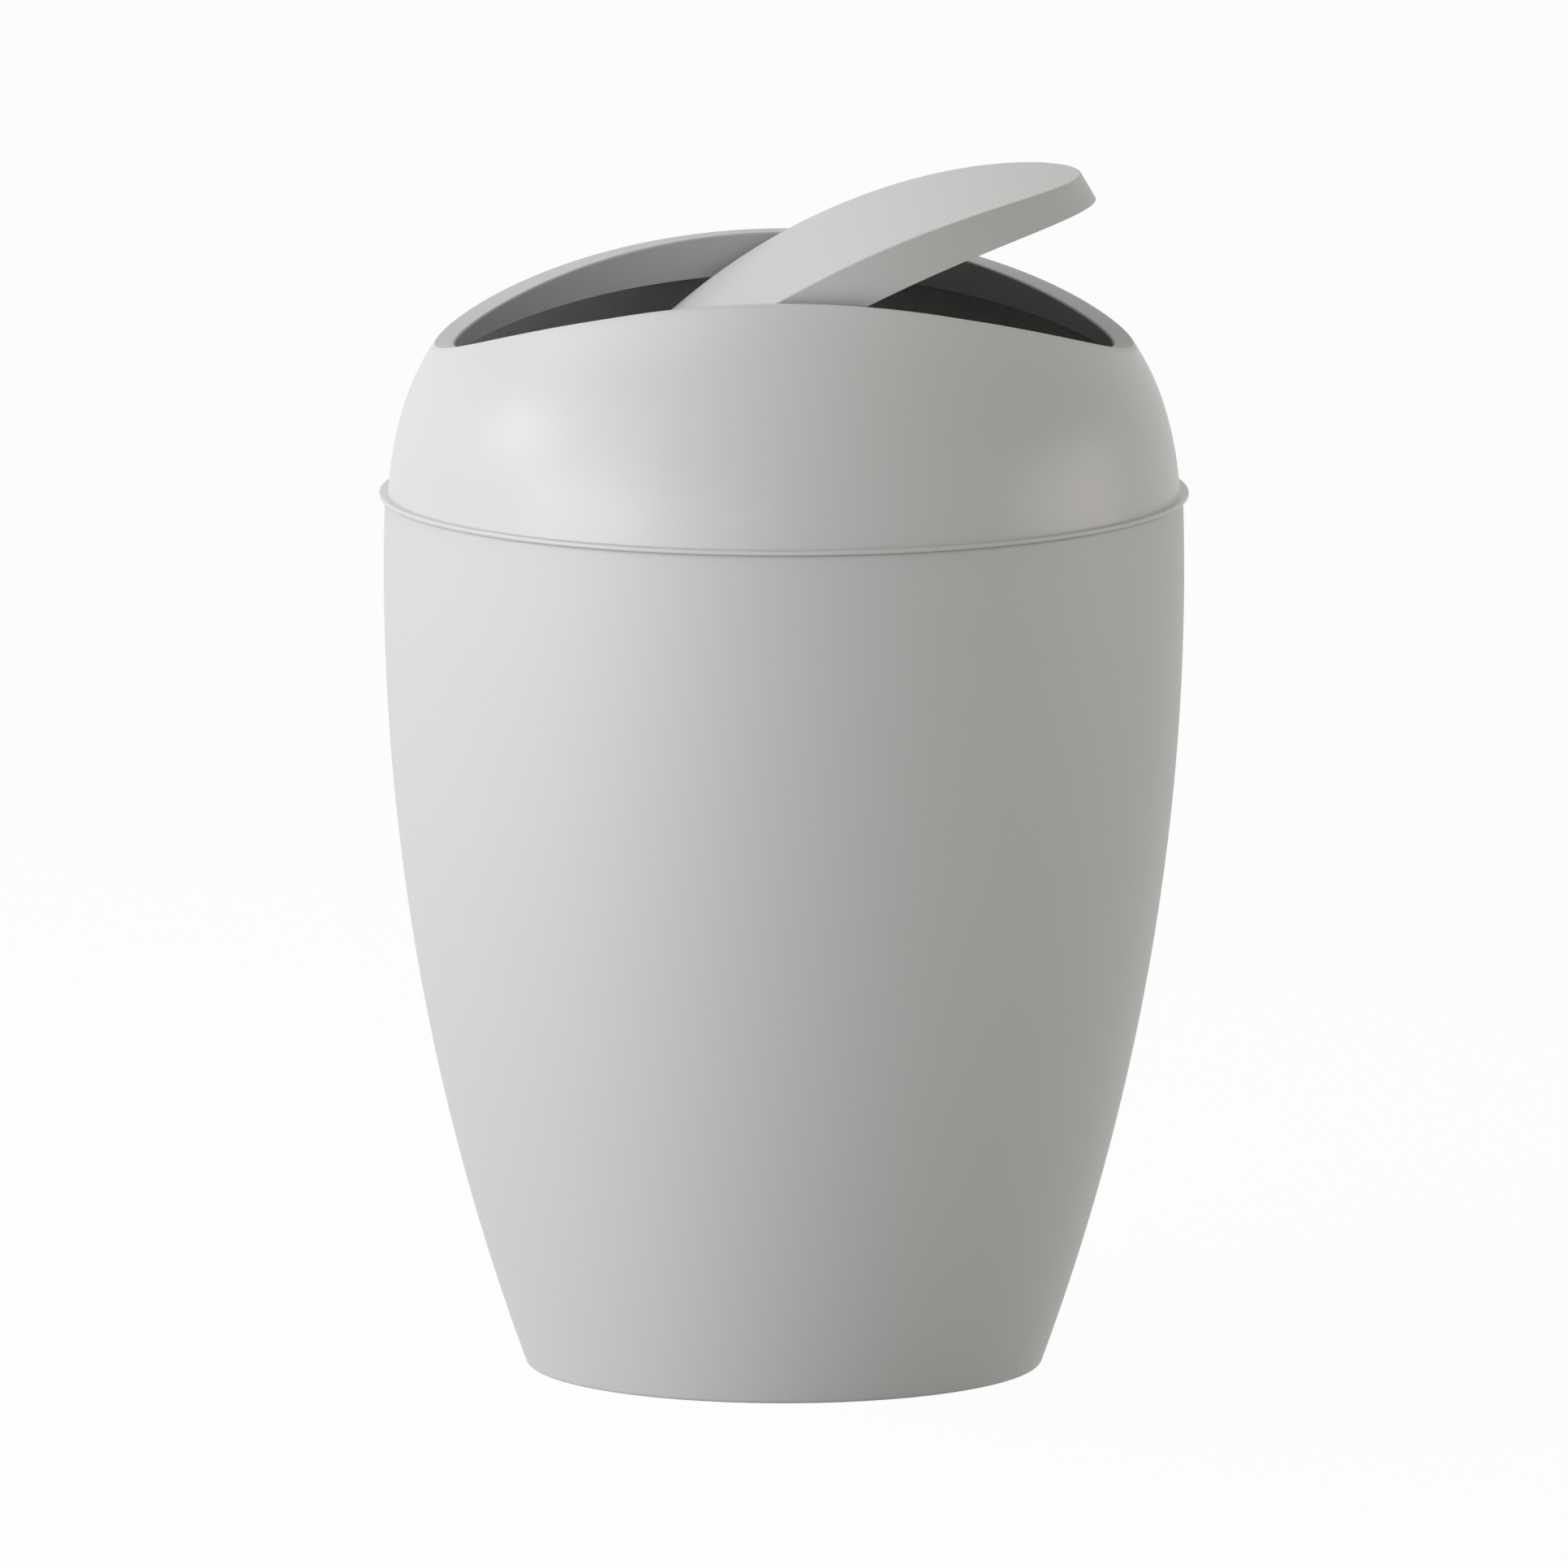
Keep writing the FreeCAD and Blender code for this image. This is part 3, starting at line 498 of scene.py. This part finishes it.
def make_flap_shell():
    """The flap's shell: bowed top, rounded edge, side, land, seat of the cover and hollow."""
    roof_arc = FLAP_TOP_ARC - FLAP_WALL
    roof = FLAP_CROWN - FLAP_WALL
    lift = COVER_THICKNESS + COVER_CLEARANCE
    top = bowed_row(0, 1, FLAP_TOP_ARC, FLAP_CROWN)
    base = bowed_row(0, 1, FLAP_BASE_ARC, FLAP_BASE)
    land = bowed_row(COVER_LAND, 1, FLAP_BASE_ARC, FLAP_BASE)
    seat = bowed_row(COVER_LAND, 1, FLAP_BASE_ARC + lift, FLAP_BASE + lift)
    seat_in = bowed_row(FLAP_WALL, 1, FLAP_BASE_ARC + lift, FLAP_BASE + lift)
    roof_edge = bowed_row(FLAP_WALL, 1, roof_arc, roof)
    rows = bowed_disc(0, FLAP_TOP_ARC, FLAP_CROWN, FLAP_ROWS)
    rows += corner(rows[-1], top, base, FLAP_ROUND)
    rows += between(rows[-1], base, FLAP_SIDE_ROWS)
    rows += corner(top, base, land, FINE_ROUND)
    rows += corner(base, land, seat, FINE_ROUND)
    rows += corner(land, seat, seat_in, FINE_ROUND)
    rows += corner(seat, seat_in, roof_edge, FINE_ROUND)
    rows += between(rows[-1], roof_edge, HOLLOW_SIDE_ROWS)
    hollow = bowed_disc(FLAP_WALL, roof_arc, roof, HOLLOW_ROWS)[::-1]
    rows += corner(seat_in, roof_edge, hollow[0], SMALL_ROUND)
    rows += hollow
    return shell("flap_skin", rows, on_pivot)


def make_flap_cover():
    """The flap's lower cover: two bowed ovals a wall apart, joined round the edge."""
    inset = COVER_LAND + COVER_CLEARANCE
    top_arc = FLAP_BASE_ARC + COVER_THICKNESS
    top = bowed_row(inset, 1, top_arc, FLAP_BASE + COVER_THICKNESS)
    base = bowed_row(inset, 1, FLAP_BASE_ARC, FLAP_BASE)
    upper = bowed_disc(inset, top_arc, FLAP_BASE + COVER_THICKNESS, COVER_TOP_ROWS)
    lower = bowed_disc(inset, FLAP_BASE_ARC, FLAP_BASE, COVER_BASE_ROWS)[::-1]
    rows = upper + corner(upper[-1], top, base, SMALL_ROUND)
    rows += corner(top, base, lower[0], SMALL_ROUND) + lower
    return shell("flap_cover_skin", rows, on_pivot)


# ------------------------------------------------------------------ bearings and stops

def tube_along_y(name, outer, inner, start, end, height, place):
    """A tube about an axis along Y, its four edges rounded."""
    def turned(radius, y):
        return np.stack([radius * COS, np.full(COLUMNS, y), radius * SIN + height], axis=1)

    corners = [turned(outer, start), turned(outer, end), turned(inner, end), turned(inner, start)]
    rows = []
    for number, at in enumerate(corners):
        rows += corner(corners[number - 1], at, corners[(number + 1) % 4], FINE_ROUND)
    return shell(name, rows, place)


BALL_ROWS = 25         # rows and columns of the ball that rounds a bar
BALL_COLUMNS = 48
LEVEL = 1e-9           # a direction's share below this points along no axis


def rounded_bar(name, low, high, radius, place):
    """A block with every edge rounded: a box shrunk by the radius and grown again by a ball.

    Each point is the box's corner that its direction on the ball looks to, plus that direction
    times the radius."""
    low = np.array(low)
    high = np.array(high)
    centre = (low + high) / 2
    half = (high - low) / 2 - radius
    across = np.linspace(-1, 1, BALL_ROWS)[:, None]
    angle = (np.arange(BALL_COLUMNS) + 0.5) * 2 * math.pi / BALL_COLUMNS
    tilt = across * math.pi / 2
    ball = np.stack([np.cos(tilt) * np.cos(angle), np.cos(tilt) * np.sin(angle),
                     np.broadcast_to(np.sin(tilt), (BALL_ROWS, BALL_COLUMNS))], axis=-1)
    side = np.sign(ball)
    side[np.abs(ball) < LEVEL] = 0
    points = centre + side * half + ball * radius
    rows = list(points)
    rows[0] = np.broadcast_to(rows[0].mean(axis=0), rows[0].shape)
    rows[-1] = np.broadcast_to(rows[-1].mean(axis=0), rows[-1].shape)
    corner_low = centre + np.stack([np.sign(np.cos(angle)) * half[0],
                                    np.sign(np.sin(angle)) * half[1],
                                    np.full(BALL_COLUMNS, -half[2] - radius)], axis=1)
    corner_high = corner_low + np.array([0, 0, 2 * (half[2] + radius)])
    return shell(name, [rows[0], corner_low] + rows[1:-1] + [corner_high, rows[-1]], place)


def make_stops(side):
    """A bearing with a stop ledge at each side on the collar, and the flap's stop nib.

    side is +1 behind and -1 in front."""
    tag = "rear" if side > 0 else "front"
    wall = MOUTH_DEPTH - LIP_WIDTH
    axis = MOUTH_CROWN - PIVOT_DEPTH
    ends = sorted((side * (wall - BEARING_PROUD), side * (wall + LIP_WALL + BEARING_LENGTH)))
    bore = PIN_RADIUS + PIN_RUNNING
    collar_pieces = [tube_along_y(f"{tag}_bearing", BEARING_RADIUS, bore, *ends, axis, on_rim)]
    across = sorted((side * (wall - STOP_PROUD), side * (wall + LIP_WALL / 2)))
    for hand, word in ((-1, "left"), (1, "right")):
        along = sorted((hand * (BEARING_RADIUS - STOP_PROUD),
                        hand * (BEARING_RADIUS + LEDGE_LENGTH)))
        low = (along[0], across[0], axis - LEDGE_DROP - LEDGE_HEIGHT)
        high = (along[1], across[1], axis - LEDGE_DROP)
        name = f"{tag}_stop_ledge_{word}"
        collar_pieces.append(rounded_bar(name, low, high, SMALL_ROUND, on_rim))
    across = sorted((side * (FLAP_DEPTH - FLAP_WALL / 2), side * (FLAP_DEPTH + STOP_PROUD)))
    nib = rounded_bar(f"{tag}_stop_nib", (-NIB_WIDTH / 2, across[0], NIB_INNER),
                      (NIB_WIDTH / 2, across[1], NIB_INNER + NIB_LENGTH), SMALL_ROUND, on_pivot)
    return collar_pieces, nib


# ------------------------------------------------------------------ materials

def add_node(tree, kind, **values):
    """A shader node; each value is put on the input socket of that name."""
    node = tree.nodes.new(kind)
    for name, value in values.items():
        node.inputs[name.replace("_", " ")].default_value = value
    return node


def math_node(tree, operation, *values):
    """The result of a math node; each value is a number, or the socket that feeds it."""
    node = tree.nodes.new("ShaderNodeMath")
    node.operation = operation
    for socket, value in zip(node.inputs, values):
        if isinstance(value, bpy.types.NodeSocket):
            tree.links.new(value, socket)
        else:
            socket.default_value = value
    return node.outputs[0]


def mould_finish_group():
    """The look of a spark-eroded mould: cloudy tone, a fine grain in height, and roughness that
    wanders a little. It also paints light and shade into the colour, scaling it by one input, and
    adds Matte to the roughness."""
    group = bpy.data.node_groups.new("MouldFinish", "ShaderNodeTree")
    for name, kind, value in (("Color", "NodeSocketColor", (0.5, 0.5, 0.5, 1)),
                              ("Shade", "NodeSocketFloat", 0.0),
                              ("Matte", "NodeSocketFloat", 0.0),
                              ("Tone", "NodeSocketFloat", 0.02),
                              ("Grain Scale", "NodeSocketFloat", 2500.0),
                              ("Roughness", "NodeSocketFloat", 0.5),
                              ("Roughness Range", "NodeSocketFloat", 0.04)):
        socket = group.interface.new_socket(name, in_out="INPUT", socket_type=kind)
        socket.default_value = value
    for name, kind in (("Color", "NodeSocketColor"), ("Roughness", "NodeSocketFloat"),
                       ("Height", "NodeSocketFloat")):
        group.interface.new_socket(name, in_out="OUTPUT", socket_type=kind)
    nodes, links = group.nodes, group.links
    entry = nodes.new("NodeGroupInput")
    leave = nodes.new("NodeGroupOutput")
    place = nodes.new("ShaderNodeTexCoord")
    clouds = add_node(group, "ShaderNodeTexNoise", Scale=14.0, Detail=3.0, Roughness=0.5)
    links.new(place.outputs["Object"], clouds.inputs["Vector"])
    grain = add_node(group, "ShaderNodeTexNoise", Detail=2.0)
    links.new(entry.outputs["Grain Scale"], grain.inputs["Scale"])
    links.new(place.outputs["Object"], grain.inputs["Vector"])

    centred = math_node(group, "SUBTRACT", clouds.outputs["Fac"], 0.5)
    tone = math_node(group, "MULTIPLY_ADD", centred, entry.outputs["Tone"], 1.0)
    # the colour, painted paler or darker by painted light and shade
    toned = nodes.new("ShaderNodeVectorMath")
    toned.operation = "SCALE"
    links.new(entry.outputs["Color"], toned.inputs[0])
    links.new(math_node(group, "ADD", tone, entry.outputs["Shade"]), toned.inputs["Scale"])
    links.new(toned.outputs["Vector"], leave.inputs["Color"])

    wander = math_node(group, "MULTIPLY_ADD", centred, entry.outputs["Roughness Range"],
                       entry.outputs["Roughness"])
    links.new(math_node(group, "ADD", wander, entry.outputs["Matte"]), leave.inputs["Roughness"])
    links.new(grain.outputs["Fac"], leave.inputs["Height"])
    return group


FINISH = mould_finish_group()
GREY = (0.60, 0.60, 0.60, 1)
PLASTIC_IOR = 1.49
GRAIN_HEIGHT = 0.02 * MM
GRAIN_STRENGTH = 0.35
ROUGHNESS = {"bin_plastic": 0.5, "lid_plastic": 0.35, "flap_plastic": 0.5, "cover_plastic": 0.55,
             "pin_plastic": 0.4}


def plastic(name, roughness):
    """Moulded polypropylene: a Principled BSDF fed by the mould finish, which also paints light and
    shade into the colour from an attribute.
    """
    material = bpy.data.materials.new(name)
    material.use_nodes = True
    tree = material.node_tree
    shader = tree.nodes["Principled BSDF"]
    shader.inputs["IOR"].default_value = PLASTIC_IOR
    finish = tree.nodes.new("ShaderNodeGroup")
    finish.node_tree = FINISH
    finish.inputs["Color"].default_value = GREY
    finish.inputs["Roughness"].default_value = roughness
    # the first attribute paints light and shade into the colour; matte makes the lip and mouth wall
    # rougher
    for mask, socket in (("shade", "Shade"), ("matte", "Matte")):
        attribute = tree.nodes.new("ShaderNodeAttribute")
        attribute.attribute_name = mask
        tree.links.new(attribute.outputs["Fac"], finish.inputs[socket])
    bump = add_node(tree, "ShaderNodeBump", Strength=GRAIN_STRENGTH, Distance=GRAIN_HEIGHT)
    tree.links.new(finish.outputs["Color"], shader.inputs["Base Color"])
    tree.links.new(finish.outputs["Roughness"], shader.inputs["Roughness"])
    tree.links.new(finish.outputs["Height"], bump.inputs["Height"])
    tree.links.new(bump.outputs["Normal"], shader.inputs["Normal"])
    return material


def cover_with(mesh, material):
    """Give a mesh this material alone."""
    mesh.materials.clear()
    mesh.materials.append(material)


def build_object():
    """Make and dress every piece."""
    plastics = {slot: plastic(slot, roughness) for slot, roughness in ROUGHNESS.items()}

    def dress(piece, body, slot, *stands_for):
        cover_with(piece.data, plastics[slot])
        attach(piece, body)
        if stands_for:
            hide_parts(*stands_for)

    dress(make_bin(), "bin", "bin_plastic", "bin_body")
    dress(make_collar(), "lid", "lid_plastic", "lid_collar")
    dress(make_flap_shell(), "flap", "flap_plastic", "flap_shell")
    dress(make_flap_cover(), "flap", "cover_plastic", "flap_cover")
    for side in (1, -1):
        collar_pieces, nib = make_stops(side)
        for piece in collar_pieces:
            dress(piece, "lid", "lid_plastic")
        dress(nib, "flap", "flap_plastic")
    for node in ("rear_pivot_pin", "front_pivot_pin"):
        cover_with(frame["nodes"][node].data, plastics["pin_plastic"])


# ------------------------------------------------------------------ stage, lamps and camera

def seen_directly(tree):
    """A factor that is 1 for rays from the camera, mirror rays and rays through glass, else 0."""
    path = tree.nodes.new("ShaderNodeLightPath")
    total = path.outputs["Is Camera Ray"]
    for name in ("Is Glossy Ray", "Is Transmission Ray"):
        total = math_node(tree, "MAXIMUM", total, path.outputs[name])
    return total


WHITE = (1, 1, 1, 1)
BACKGROUND = 0.985       # how white the backdrop looks
FLOOR_GLOW = 0.93        # share of the floor's look that no shadow reaches
FLOOR_WHITE = 1.033      # how white that share looks; it makes up for the dimmer rest
FLOOR_COLOR = (0.5, 0.5, 0.5, 1)
FLOOR_REACH = 40.0       # from the middle to each side
AMBIENT = (0.338, 0.330, 0.308, 1)


def make_floor():
    """A wide pale floor that looks as white as the backdrop and still takes a soft shadow."""
    half = FLOOR_REACH
    corners = [(-half, -half, 0), (half, -half, 0), (half, half, 0), (-half, half, 0)]
    mesh = bpy.data.meshes.new("floor")
    mesh.from_pydata(corners, [], [(0, 1, 2, 3)])
    floor = bpy.data.objects.new("floor", mesh)
    bpy.context.scene.collection.objects.link(floor)
    material = bpy.data.materials.new("pale_floor")
    material.use_nodes = True
    tree = material.node_tree
    tree.nodes.clear()
    result = tree.nodes.new("ShaderNodeOutputMaterial")
    plain = add_node(tree, "ShaderNodeBsdfDiffuse", Color=FLOOR_COLOR)
    glow = add_node(tree, "ShaderNodeEmission", Color=WHITE, Strength=FLOOR_WHITE)
    mix = tree.nodes.new("ShaderNodeMixShader")
    share = math_node(tree, "MULTIPLY", seen_directly(tree), FLOOR_GLOW)
    tree.links.new(share, mix.inputs["Fac"])
    tree.links.new(plain.outputs[0], mix.inputs[1])
    tree.links.new(glow.outputs[0], mix.inputs[2])
    tree.links.new(mix.outputs[0], result.inputs["Surface"])
    mesh.materials.append(material)


def make_world():
    """A white surrounding for the camera, and a dimmer even light for everything else."""
    world = bpy.data.worlds.new("studio")
    bpy.context.scene.world = world
    world.use_nodes = True
    tree = world.node_tree
    tree.nodes.clear()
    result = tree.nodes.new("ShaderNodeOutputWorld")
    light = add_node(tree, "ShaderNodeBackground", Color=AMBIENT, Strength=1.0)
    white = add_node(tree, "ShaderNodeBackground", Color=WHITE, Strength=BACKGROUND)
    mix = tree.nodes.new("ShaderNodeMixShader")
    tree.links.new(seen_directly(tree), mix.inputs["Fac"])
    tree.links.new(light.outputs[0], mix.inputs[1])
    tree.links.new(white.outputs[0], mix.inputs[2])
    tree.links.new(mix.outputs[0], result.inputs["Surface"])


def add_lamp(name, azimuth, elevation, box, power, color):
    """A soft box that looks at the middle of the object; azimuth 0 is in front, 90 on the right."""
    lamp = bpy.data.lights.new(name, "AREA")
    lamp.shape = "RECTANGLE"
    lamp.size, lamp.size_y = box
    lamp.energy = power
    lamp.color = color
    stand = bpy.data.objects.new(name, lamp)
    a, e = math.radians(azimuth), math.radians(elevation)
    aim = Vector((math.sin(a) * math.cos(e), -math.cos(a) * math.cos(e), math.sin(e)))
    middle = Vector((0, 0, RIM / 2))
    stand.location = middle + aim * LAMP_DISTANCE
    stand.rotation_euler = aim.to_track_quat("Z", "Y").to_euler()
    stand.visible_camera = False
    bpy.context.scene.collection.objects.link(stand)


LAMP_DISTANCE = 1.6
HIGH_BOX = (1.1, 1.1)      # width and height of a box on a stand
LOW_BOX = (1.1, 0.66)      # of one that stands on the floor
SMALL_BOX = (0.45, 0.45)
NEUTRAL = (1.0, 1.0, 1.0)
COOL = (0.95, 0.97, 1.0)
WARM = (1.0, 0.95, 0.865)
LAMPS = (
    # name, azimuth, elevation, (width, height), watts, colour
    ("key_low", -60, 7, LOW_BOX, 8.0, NEUTRAL),
    ("key_high", -60, 30, HIGH_BOX, 4.0, NEUTRAL),
    ("front_left_low", -30, 7, LOW_BOX, 4.1, COOL),
    ("left_low", -90, 7, LOW_BOX, 0.8, NEUTRAL),
    ("highlight", -89, 27, SMALL_BOX, 3.0, NEUTRAL),
    ("left_back_high", -120, 60, HIGH_BOX, 5.5, COOL),
    ("right_low", 90, 7, LOW_BOX, 5.0, WARM),
)


def make_lamps():
    """All the soft boxes."""
    for lamp in LAMPS:
        add_lamp(*lamp)


CAMERA_DISTANCE = 14.4       # along the floor, from the object's axis
CAMERA_HEIGHT = 2.47
CAMERA_PITCH = 9.0           # degrees below the horizon
FRAME_WIDTH = 0.5080         # width that the picture takes in, at the object
SENSOR_WIDTH = 36.0          # millimetres
CAMERA_REACH = 100.0         # how far it sees


def make_camera():
    """A long-lens camera in front of the object and a little above it."""
    camera = bpy.data.objects.new("camera", bpy.data.cameras.new("camera"))
    camera.location = (0, -CAMERA_DISTANCE, CAMERA_HEIGHT)
    camera.rotation_euler = (math.radians(90 - CAMERA_PITCH), 0, 0)
    reach = math.hypot(CAMERA_DISTANCE, CAMERA_HEIGHT - RIM / 2)
    camera.data.sensor_width = SENSOR_WIDTH
    camera.data.lens = SENSOR_WIDTH * reach / FRAME_WIDTH
    camera.data.clip_end = CAMERA_REACH
    bpy.context.scene.collection.objects.link(camera)
    bpy.context.scene.camera = camera


make_camera()
build_object()
make_floor()
make_world()
make_lamps()
bpy.context.scene.view_settings.view_transform = "Standard"
